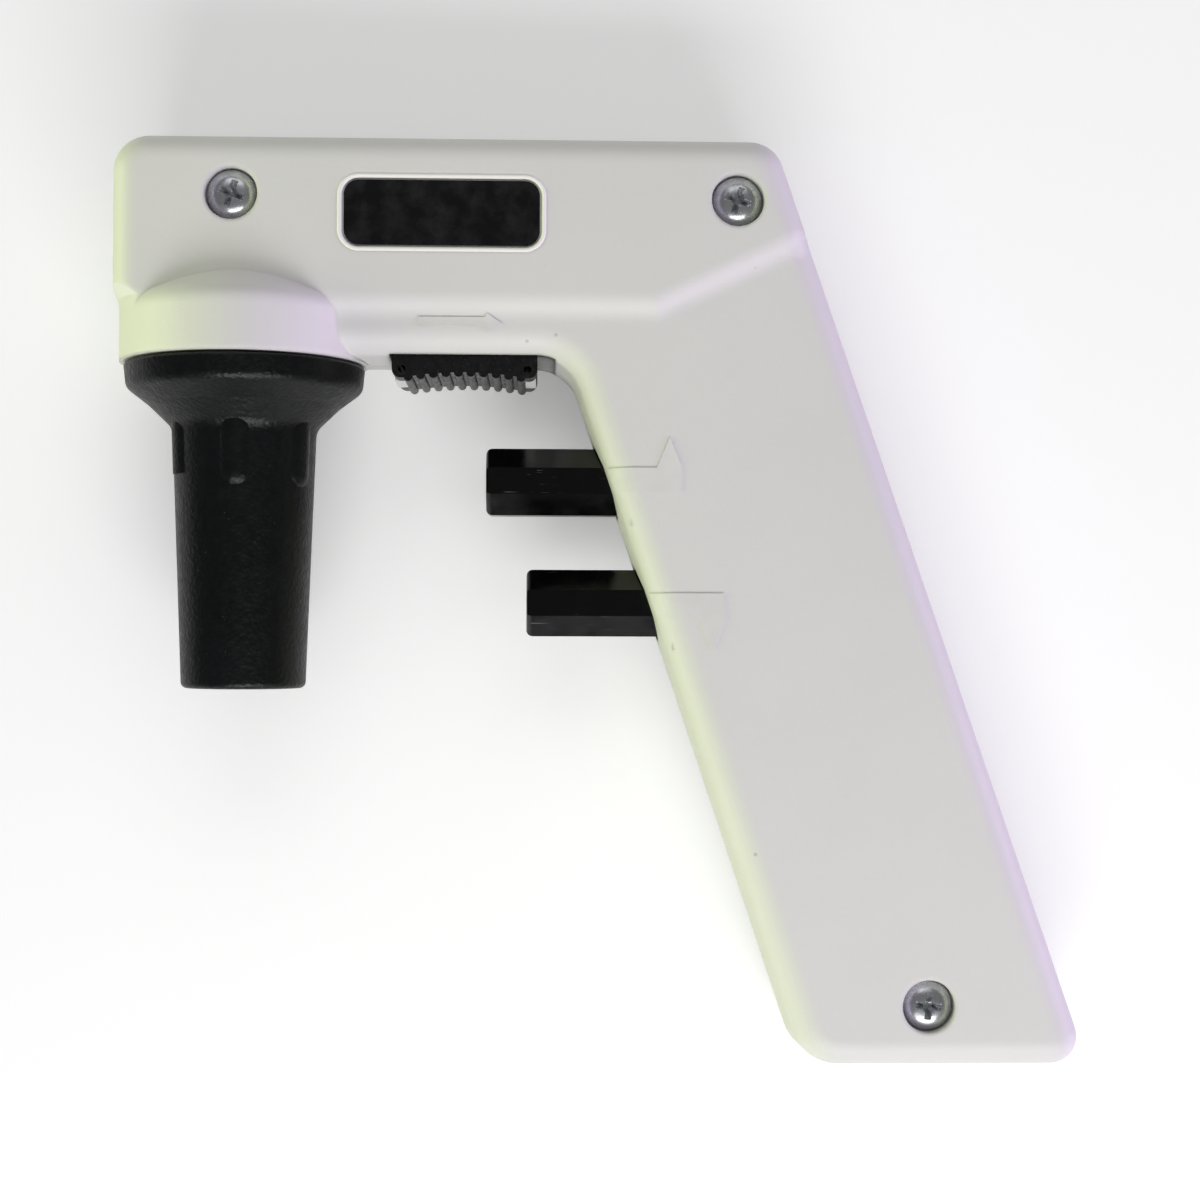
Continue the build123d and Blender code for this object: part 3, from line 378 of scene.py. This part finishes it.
class PUMP_OT_side_plate(bpy.types.Operator):
    """Smooth black plate and the raised bead moulded round its recess"""

    bl_idname = "pump.side_plate"
    bl_label = "Side plate"

    def execute(self, context):
        plate = Tree("plate_black")
        haze = plate.noise(300.0, 4.0, 0.6)
        plate.colour(plate.mix(plate.span(haze, 0.4, 0.75), PLATE_BLACK, PLATE_HAZE))
        plate.rough(plate.span(haze, 0.35, 0.7, 0.2, 0.34))
        plate.set(IOR=1.5)
        plate.bump((plate.noise(900.0, 2.0), 0.000004))
        dress(plate.material, "side_plate")
        s = context.scene.pump_plate
        low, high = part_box("side_plate")
        reach = s.reach
        near = (low.x - reach, low.y - reach)
        far = (high.x + reach, high.y + reach)
        loop = rounded_loop(near, far, PLATE_CORNER + reach)
        mesh = bead_mesh("plate_frame", loop, PLATE_FACE - 0.5 * s.bead, s.bead)
        bead = new_object("plate_frame", mesh, bpy.data.materials["housing_plastic"], "housing")
        return {"FINISHED"}


# Screws

# Centre, height of the face at the screw (mm) and turn of the cross (degrees) of each screw
SCREW_PLACES = (
    (-50.95, 56.15, 29.7, -20.0),
    (19.25, 55.85, 29.7, -20.0),
    (46.25, -56.25, 28.45, -5.0),
)
# Sizes in mm. SCREW_FACE is the face that carries the highest screws
SCREW_FACE = 29.7
HEAD_RADIUS = 3.375
HEAD_HEIGHT = 2.2
SHANK_RADIUS = 1.72
SHANK_LENGTH = 12.0
THREAD_STEP = 0.3
SCREW_RINGS = 44
SCREW_SIDES = 128


def screw_height(x, y, radius, height):
    """Top of a pan head with a tapered cross recess, above the head's seat."""
    rim = 0.42 * height
    dome_power = 3.2
    arm_length, arm_half, depth = 0.56 * radius, 0.135 * radius, 0.62 * height
    side_slope, end_slope = 3.2, 1.5
    core_radius, core_slope = 0.27 * radius, 2.6
    lip = 0.05 * radius

    r = math.hypot(x, y)
    share = min(r / radius, 1.0)
    top = rim + (height - rim) * (1 - share ** dome_power)
    arm = max(abs(x), abs(y))
    side = min(abs(x), abs(y))
    wall = min((arm_half - side) * side_slope, (arm_length - arm) * end_slope)
    recess = max(wall, (core_radius - r) * core_slope)
    if recess > 0:
        recess = recess if recess > lip else recess * recess / lip
        top -= min(recess, depth)
    return top


def shank_profile(radius, height, shank, length):
    """Radius and height of the screw's outline from the head's rim to the tip."""
    step = THREAD_STEP * MM
    z = -step
    profile = [(radius, 0.36 * height), (radius * 0.995, 0.08 * height), (radius * 0.97, 0.0), (shank, 0.0)]
    while z > -length + 2 * step:
        profile += [(shank * 0.8, z), (shank, z - step)]
        z -= 2 * step
    return profile + [(shank * 0.75, -length + step), (shank * 0.2, -length)]


def screw_mesh(name, spots):
    """Pan-head screws with a cross recess and a threaded shank, as one mesh."""
    mesh = bmesh.new()
    sides = SCREW_SIDES
    for x0, y0, seat, radius, height, turn, shank, length in spots:
        place = Vector((x0, y0, seat))
        spin = Matrix.Rotation(math.radians(turn), 3, "Z")
        middle = Vector((0, 0, screw_height(0, 0, radius, height)))
        grid = [[mesh.verts.new(place + middle)] * sides]
        for i in range(1, SCREW_RINGS + 1):
            r = radius * (i / SCREW_RINGS) ** 0.9
            row = []
            for k in range(sides):
                a = 2 * math.pi * k / sides
                p = Vector((r * math.cos(a), r * math.sin(a), 0))
                p.z = screw_height(p.x, p.y, radius, height)
                row.append(mesh.verts.new(place + spin @ p))
            grid.append(row)
        for r, z in shank_profile(radius, height, shank, length):
            row = []
            for k in range(sides):
                a = 2 * math.pi * k / sides
                p = Vector((r * math.cos(a), r * math.sin(a), z))
                row.append(mesh.verts.new(place + spin @ p))
            grid.append(row)
        for i in range(len(grid) - 1):
            for k in range(sides):
                n = (k + 1) % sides
                if i == 0:
                    mesh.faces.new((grid[0][0], grid[1][k], grid[1][n]))
                else:
                    mesh.faces.new((grid[i][k], grid[i + 1][k], grid[i + 1][n], grid[i][n]))
        mesh.faces.new(grid[-1])
    bmesh.ops.recalc_face_normals(mesh, faces=mesh.faces)
    made = bpy.data.meshes.new(name)
    mesh.to_mesh(made)
    mesh.free()
    smooth(made, 34.0)
    return made


def zinc(name, colour):
    """Bright zinc plate with fine turning marks and small pits."""
    t = Tree(name)
    cloud = t.noise(700.0, 3.0, 0.6)
    pits = t.span(t.cells(2600.0), 0.05, 0.2, 1.0, 0.0)
    t.colour(t.mix(t.span(cloud, 0.35, 0.7), colour, shade(colour, 0.72)))
    t.rough(t.span(cloud, 0.3, 0.7, 0.2, 0.36))
    t.set(Metallic=0.8)
    t.bump((cloud, 0.00002), (pits, 0.00001))
    return t.material


class PUMP_OT_screws(bpy.types.Operator):
    """Three pan-head screws with cross recesses, in place of the plain ones"""

    bl_idname = "pump.screws"
    bl_label = "Housing screws"

    def execute(self, context):
        _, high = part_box("housing_screws")
        spots = []
        for x, y, face, turn in SCREW_PLACES:
            seat = (face - SCREW_FACE) * MM + high.z - HEAD_HEIGHT * MM
            spots.append((x * MM, y * MM, seat, HEAD_RADIUS * MM, HEAD_HEIGHT * MM, turn,
                          SHANK_RADIUS * MM, SHANK_LENGTH * MM))
        mesh = screw_mesh("pan_head_screws", spots)
        material = zinc("screw_zinc", tuple(context.scene.pump_metal.zinc))
        screws = new_object("pan_head_screws", mesh, material, "housing")
        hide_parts("housing_screws")
        return {"FINISHED"}


# Nosepiece, buttons and slide


class PUMP_OT_nosepiece(bpy.types.Operator):
    """Satin black nosepiece with a fine moulded grain"""

    bl_idname = "pump.nosepiece"
    bl_label = "Nosepiece"

    def execute(self, context):
        s = context.scene.pump_black
        colour = tuple(s.nose_colour)
        t = Tree("nose_plastic")
        grain = t.cells(1900.0, "SMOOTH_F1")
        fine = t.noise(5200.0, 3.0, 0.6)
        dust = t.span(t.cells(1100.0), 0.06, 0.11, 1.0, 0.0)
        some = t.span(t.noise(420.0, 1.0), 0.52, 0.6)
        rub = t.span(t.noise(60.0, 4.0, 0.65), 0.45, 0.75)
        base = t.mix(rub, colour, shade(colour, 1.7))
        dusty = t.math("MULTIPLY", t.math("MULTIPLY", dust, some), 0.25)
        t.colour(t.mix(dusty, base, (0.22, 0.22, 0.22)))
        t.rough(t.span(t.noise(900.0, 3.0), 0.3, 0.7, s.nose_rough - 0.06, s.nose_rough + 0.1))
        t.set(IOR=1.5, Specular_IOR_Level=0.32)
        t.bump((grain, 0.00007), (fine, 0.00002))
        dress(t.material, "nosepiece")
        return {"FINISHED"}


class PUMP_OT_buttons(bpy.types.Operator):
    """Polished black buttons with fine scratches"""

    bl_idname = "pump.buttons"
    bl_label = "Buttons"

    def execute(self, context):
        s = context.scene.pump_black
        colour = tuple(s.button_colour)
        t = Tree("button_plastic")
        cloud = t.noise(260.0, 5.0, 0.62)
        lines = t.stretched((260.0, 5200.0, 900.0), 52.0)
        scratch = t.span(t.noise(1.0, 2.0, 0.5, lines, 0.4), 0.68, 0.76)
        where = t.span(t.noise(170.0, 1.0), 0.5, 0.62)
        scratch = t.math("MULTIPLY", scratch, where)
        t.colour(t.mix(t.math("MULTIPLY", scratch, 0.35), colour, (0.3, 0.31, 0.34)))
        t.rough(t.math("ADD", t.span(cloud, 0.35, 0.75, s.button_rough - 0.05, s.button_rough + 0.12),
                       t.math("MULTIPLY", scratch, 0.3)))
        t.set(IOR=1.52)
        t.bump((t.noise(120.0, 2.0), 0.00003), (scratch, 0.000012))
        dress(t.material, "aspirate_button", "dispense_button")
        return {"FINISHED"}


class PUMP_OT_mode_slide(bpy.types.Operator):
    """Ridged black slide and its dark pins, with the charging socket's pin"""

    bl_idname = "pump.mode_slide"
    bl_label = "Mode slide"

    def execute(self, context):
        t = Tree("slide_plastic")
        cloud = t.noise(900.0, 4.0, 0.6)
        dust = t.span(t.noise(3000.0, 2.0), 0.62, 0.72)
        t.colour(t.mix(t.math("MULTIPLY", dust, 0.2), (0.006, 0.006, 0.007), (0.12, 0.12, 0.12)))
        t.rough(t.span(cloud, 0.3, 0.7, 0.2, 0.42))
        t.set(IOR=1.5)
        t.bump((cloud, 0.00004))
        dress(t.material, "mode_slide")
        p = Tree("pin_steel")
        p.colour(p.mix(p.noise(1500.0), (0.03, 0.03, 0.03), (0.09, 0.09, 0.09)))
        p.rough(p.span(p.noise(2500.0), 0.3, 0.7, 0.3, 0.5))
        p.set(Metallic=1.0)
        dress(p.material, "slide_pins", "jack_pin")
        return {"FINISHED"}


# Inner pieces


def plain_plastic(name, colour, rough=0.5, scale=900.0, depth=0.00002, **settings):
    """Moulded plastic with faint flow marks and a fine surface."""
    t = Tree(name)
    cloud = t.noise(120.0, 4.0, 0.6)
    t.colour(t.mix(t.span(cloud, 0.3, 0.7), shade(colour, 0.93), shade(colour, 1.05)))
    t.rough(t.span(t.noise(scale, 3.0), 0.3, 0.7, rough - 0.06, rough + 0.08))
    t.set(IOR=1.5, **settings)
    t.bump((t.noise(scale, 2.0), depth))
    return t.material


def turned_metal(name, colour, rough=0.28, along=(1.0, 1.0, 1.0)):
    """Machined metal with fine marks across its stretched direction."""
    t = Tree(name)
    marks = t.noise(1.0, 3.0, 0.6, t.stretched(tuple(2400.0 * a for a in along)))
    t.colour(t.mix(t.span(t.noise(500.0, 3.0), 0.3, 0.7), shade(colour, 0.86), colour))
    t.rough(t.span(marks, 0.3, 0.7, rough - 0.06, rough + 0.1))
    t.set(Metallic=1.0)
    t.bump((marks, 0.000006))
    return t.material


class PUMP_OT_air_parts(bpy.types.Operator):
    """Holder, filter, tubes, seals, fitting and valve pieces"""

    bl_idname = "pump.air_parts"
    bl_label = "Air path"

    def execute(self, context):
        metal = context.scene.pump_metal
        silicone = plain_plastic("silicone", (0.72, 0.73, 0.71), 0.42, 700.0, 0.00001,
                                 Transmission_Weight=0.25, Subsurface_Weight=0.2, Subsurface_Scale=0.002)
        dress(silicone, "pipette_holder", "nose_tube", "suction_tube", "pressure_tube")
        rubber = plain_plastic("seal_rubber", (0.02, 0.02, 0.021), 0.6, 1600.0)
        dress(rubber, "nose_seal", "aspirate_rings", "dispense_rings", "diaphragm")
        acetal = plain_plastic("white_acetal", (0.78, 0.78, 0.75), 0.38, 1100.0)
        dress(acetal, "nose_fitting", "valve_block", "slide_carriage", "connecting_rod")
        paper = plain_plastic("filter_membrane", (0.82, 0.82, 0.8), 0.75, 2600.0, 0.00006)
        dress(paper, "nose_filter")
        brass = turned_metal("brass", tuple(metal.brass), 0.26)
        dress(brass, "valve_plugs", "thread_inserts", "eccentric")
        stem = turned_metal("stem_steel", shade(tuple(metal.steel), 1.15), 0.2, (0.1, 1.0, 1.0))
        dress(stem, "aspirate_stem", "dispense_stem", "motor_shaft")
        spring = turned_metal("spring_steel", shade(tuple(metal.steel), 0.9), 0.3)
        dress(spring, "aspirate_spring", "dispense_spring", "aspirate_leaf", "dispense_leaf")
        return {"FINISHED"}


class PUMP_OT_drive_parts(bpy.types.Operator):
    """Motor, crankcase and pump head"""

    bl_idname = "pump.drive_parts"
    bl_label = "Motor and pump"

    def execute(self, context):
        steel = shade(tuple(context.scene.pump_metal.steel), 1.05)
        can = turned_metal("motor_steel", steel, 0.3, (0.08, 1.0, 1.0))
        dress(can, "drive_motor")
        dark = plain_plastic("pump_plastic", (0.05, 0.05, 0.055), 0.5, 1500.0, 0.00003)
        dress(dark, "crankcase", "pump_head")
        return {"FINISHED"}


class PUMP_OT_power_parts(bpy.types.Operator):
    """Cells, straps, charging socket, board and switches"""

    bl_idname = "pump.power_parts"
    bl_label = "Power and switches"

    def execute(self, context):
        wrap = plain_plastic("cell_wrap", (0.03, 0.11, 0.36), 0.24, 260.0, 0.00005)
        dress(wrap, "battery_cells")
        nickel = turned_metal("nickel", (0.68, 0.65, 0.58), 0.26)
        dress(nickel, "battery_straps")
        case = plain_plastic("switch_plastic", (0.015, 0.015, 0.016), 0.45, 1800.0, 0.00002)
        dress(case, "charging_jack", "button_switches", "mode_switch", "switch_knob")
        board = Tree("board_green")
        weave = board.add("ShaderNodeTexWave", -800, wave_type="BANDS", bands_direction="DIAGONAL")
        weave.inputs["Scale"].default_value = 900.0
        board.link(board.place, weave.inputs["Vector"])
        board.colour(board.mix(weave.outputs["Fac"], (0.012, 0.075, 0.03), (0.02, 0.1, 0.045)))
        board.rough(board.span(board.noise(800.0), 0.3, 0.7, 0.24, 0.34))
        board.set(IOR=1.5)
        board.bump((weave.outputs["Fac"], 0.000005))
        dress(board.material, "switch_board")
        return {"FINISHED"}


# Raised marks

# Corners in mm on the face of the near shell, each list one raised mark
SLIDE_ARROW = (
    (-25.2, 38.05), (-15.85, 38.05), (-15.7, 37.2), (-13.5, 38.5),
    (-15.5, 39.95), (-15.95, 39.4), (-25.2, 39.4),
)
UPPER_MARK = ((2.6, 15.3), (11.45, 15.3), (11.55, 18.9), (9.9, 22.9), (8.1, 18.6), (1.5, 18.6))
LOWER_MARK = ((8.5, -2.15), (14.1, -2.15), (15.9, -6.7), (17.75, -2.5), (17.4, 1.15), (7.4, 1.15))
MARKS = (("slide_arrow", SLIDE_ARROW), ("upper_mark", UPPER_MARK), ("lower_mark", LOWER_MARK))
# Width in mm of the squares that let a mark follow the shell, and metres from which it is dropped
MARK_CELL = 0.6
DROP_HEIGHT = 0.1


def raised_mark(name, corners, height, material):
    """A low smooth plateau that follows the near shell under its outline."""
    shell = NODES["near_shell"].data
    tree = BVHTree.FromPolygons([v.co for v in shell.vertices], [p.vertices for p in shell.polygons])
    mesh = bmesh.new()
    mesh.faces.new([mesh.verts.new((x * MM, y * MM, 0)) for x, y in corners])
    for axis in (0, 1):
        first = min(c[axis] for c in corners)
        last = max(c[axis] for c in corners)
        cut = first + MARK_CELL
        while cut < last:
            spot, normal = Vector((0, 0, 0)), Vector((0, 0, 0))
            spot[axis], normal[axis] = cut * MM, 1.0
            everything = mesh.verts[:] + mesh.edges[:] + mesh.faces[:]
            bmesh.ops.bisect_plane(mesh, geom=everything, plane_co=spot, plane_no=normal)
            cut += MARK_CELL
    lower = mesh.verts[:]
    raised = bmesh.ops.extrude_face_region(mesh, geom=mesh.faces[:])
    upper = [v for v in raised["geom"] if isinstance(v, bmesh.types.BMVert)]
    for group, rise in ((lower, -height), (upper, height)):
        for v in group:
            hit, normal, _, _ = tree.ray_cast(Vector((v.co.x, v.co.y, DROP_HEIGHT)), Vector((0, 0, -1)))
            if hit is None:
                raise RuntimeError(name + " hangs over the edge of the near shell")
            v.co = hit + normal * rise
    bmesh.ops.recalc_face_normals(mesh, faces=mesh.faces)
    made = bpy.data.meshes.new(name)
    mesh.to_mesh(made)
    mesh.free()
    smooth(made, 30.0)
    mark = new_object(name, made, material, "housing")


class PUMP_OT_marks(bpy.types.Operator):
    """Smooth raised arrows beside the slide and the two buttons"""

    bl_idname = "pump.marks"
    bl_label = "Raised marks"

    def execute(self, context):
        s = context.scene.pump_plastic
        material = plain_plastic("mark_plastic", tuple(s.colour), 0.5, 900.0, 0.000004)
        for name, corners in MARKS:
            raised_mark(name, corners, s.mark, material)
        return {"FINISHED"}


# Stage

# Place in metres, turn in degrees and focal length in mm of the camera
CAMERA_EYE = (-0.00866, -0.00427, 0.30955)
CAMERA_TURN = (0.899, -1.819, 0.200)
CAMERA_LENS = 60.8
WHITE = (1.0, 1.0, 1.0)
LEFT_TINT = (0.84, 1.0, 0.36)
RIGHT_TINT = (0.74, 0.5, 1.0)
# Emission of the floor as the camera sees it, and its drop below the part in metres
FLOOR_GLOW = 0.22
FLOOR_DROP = 0.05 * MM


def area_light(name, place, aim, size, power, colour, only=None):
    """A soft box light, which lights just the collection only where one is given."""
    data = bpy.data.lights.new(name, "AREA")
    data.shape = "RECTANGLE"
    data.size, data.size_y = size
    data.energy = power
    data.color = colour
    lamp = bpy.data.objects.new(name, data)
    bpy.context.scene.collection.objects.link(lamp)
    lamp.location = place
    lamp.rotation_euler = (Vector(aim) - Vector(place)).to_track_quat("-Z", "Y").to_euler()
    if only:
        lamp.light_linking.receiver_collection = only


def add_floor(s):
    """A white table top, tilted so that the pump rests on it."""
    half = s.floor_width / 2
    corners = [(-half, -half, 0), (half, -half, 0), (half, half, 0), (-half, half, 0)]
    mesh = bpy.data.meshes.new("table_top")
    mesh.from_pydata(corners, [], [(0, 1, 2, 3)])
    t = Tree("table_white")
    t.colour(t.mix(t.span(t.noise(3.0, 2.0), 0.3, 0.7), (0.94, 0.94, 0.94), (0.95, 0.95, 0.95)))
    t.set(Roughness=0.7, Specular_IOR_Level=0.2)
    seen = t.add("ShaderNodeLightPath", -200)
    glow = t.add("ShaderNodeEmission", 400)
    glow.inputs["Color"].default_value = (*WHITE, 1.0)
    t.link(t.math("MULTIPLY", seen.outputs["Is Camera Ray"], FLOOR_GLOW), glow.inputs["Strength"])
    both = t.add("ShaderNodeAddShader", 600)
    t.link(t.shader.outputs[0], both.inputs[0])
    t.link(glow.outputs[0], both.inputs[1])
    t.link(both.outputs[0], t.output.inputs["Surface"])
    mesh.materials.append(t.material)
    floor = bpy.data.objects.new("table_top", mesh)
    bpy.context.scene.collection.objects.link(floor)
    low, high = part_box("nosepiece")
    floor.location = ((low.x + high.x) / 2, 0, -FLOOR_DROP)
    floor.rotation_euler = (0, -s.floor_tilt, 0)


def add_surround(s):
    """An even white world, dimmer in mirrors and plain white to the camera."""
    world = bpy.data.worlds.new("studio")
    world.use_nodes = True
    nodes, links = world.node_tree.nodes, world.node_tree.links
    background = nodes["Background"]
    background.inputs["Color"].default_value = (*WHITE, 1.0)
    path = nodes.new("ShaderNodeLightPath")
    dim = nodes.new("ShaderNodeMapRange")
    dim.inputs["To Min"].default_value = s.sky
    dim.inputs["To Max"].default_value = s.mirror
    lift = nodes.new("ShaderNodeMapRange")
    lift.inputs["To Max"].default_value = 1.0
    links.new(path.outputs["Is Glossy Ray"], dim.inputs["Value"])
    links.new(dim.outputs["Result"], lift.inputs["To Min"])
    links.new(path.outputs["Is Camera Ray"], lift.inputs["Value"])
    links.new(lift.outputs["Result"], background.inputs["Strength"])
    bpy.context.scene.world = world


def add_lights(s):
    """Two white lights over the pump and two low tinted ones for the shells alone."""
    area_light("key_light", (0.05, -0.55, 0.45), (0, 0, 0.01), (0.6, 0.35), s.key, WHITE)
    area_light("top_light", (0.0, 0.62, 0.62), (0, 0, 0), (0.7, 0.4), s.top, WHITE)
    shells = bpy.data.collections.new("tinted_edges")
    for name in ("near_shell", "far_shell", "plate_frame", *(mark for mark, _ in MARKS)):
        shells.objects.link(bpy.data.objects[name])
    area_light("left_light", (-0.5, 0.0, 0.12), (0, 0, 0.02), (0.5, 0.2), s.left, LEFT_TINT, shells)
    area_light("right_light", (0.5, -0.02, 0.12), (0, 0, 0.02), (0.5, 0.2), s.right, RIGHT_TINT, shells)


def add_camera():
    """The camera over the pump, at the photograph's place and angle."""
    data = bpy.data.cameras.new("photo_camera")
    data.lens = CAMERA_LENS
    data.sensor_width = 36.0
    data.clip_start, data.clip_end = 0.01, 20.0
    camera = bpy.data.objects.new("photo_camera", data)
    bpy.context.scene.collection.objects.link(camera)
    camera.location = CAMERA_EYE
    camera.rotation_euler = [math.radians(a) for a in CAMERA_TURN]
    bpy.context.scene.camera = camera


class PUMP_OT_stage(bpy.types.Operator):
    """White table, soft lights and the camera over the pump"""

    bl_idname = "pump.stage"
    bl_label = "Stage"

    def execute(self, context):
        s = context.scene.pump_stage
        add_floor(s)
        add_surround(s)
        add_lights(s)
        add_camera()
        context.scene.view_settings.view_transform = "Standard"
        return {"FINISHED"}


# Add-on

SETTINGS = (
    ("pump_plastic", PlasticSettings),
    ("pump_black", BlackSettings),
    ("pump_metal", MetalSettings),
    ("pump_plate", PlateSettings),
    ("pump_stage", StageSettings),
)
OPERATORS = (
    PUMP_OT_housing,
    PUMP_OT_side_plate,
    PUMP_OT_screws,
    PUMP_OT_nosepiece,
    PUMP_OT_buttons,
    PUMP_OT_mode_slide,
    PUMP_OT_air_parts,
    PUMP_OT_drive_parts,
    PUMP_OT_power_parts,
    PUMP_OT_marks,
    PUMP_OT_stage,
)


class PUMP_PT_panel(bpy.types.Panel):
    """Lists the pump's settings and steps"""

    bl_idname = "PUMP_PT_panel"
    bl_label = "Pipette pump"
    bl_space_type = "VIEW_3D"
    bl_region_type = "UI"
    bl_category = "Pump"

    def draw(self, context):
        for name, group in SETTINGS:
            box = self.layout.box()
            for key in group.__annotations__:
                box.prop(getattr(context.scene, name), key)
        for operator in OPERATORS:
            self.layout.operator(operator.bl_idname)


def register():
    for name, group in SETTINGS:
        bpy.utils.register_class(group)
        setattr(bpy.types.Scene, name, bpy.props.PointerProperty(type=group))
    for operator in OPERATORS:
        bpy.utils.register_class(operator)
    bpy.utils.register_class(PUMP_PT_panel)


def unregister():
    bpy.utils.unregister_class(PUMP_PT_panel)
    for operator in reversed(OPERATORS):
        bpy.utils.unregister_class(operator)
    for name, group in reversed(SETTINGS):
        delattr(bpy.types.Scene, name)
        bpy.utils.unregister_class(group)


def main():
    register()
    bpy.ops.pump.housing()
    bpy.ops.pump.side_plate()
    bpy.ops.pump.screws()
    bpy.ops.pump.nosepiece()
    bpy.ops.pump.buttons()
    bpy.ops.pump.mode_slide()
    bpy.ops.pump.air_parts()
    bpy.ops.pump.drive_parts()
    bpy.ops.pump.power_parts()
    bpy.ops.pump.marks()
    bpy.ops.pump.stage()


if __name__ == "__main__":
    main()
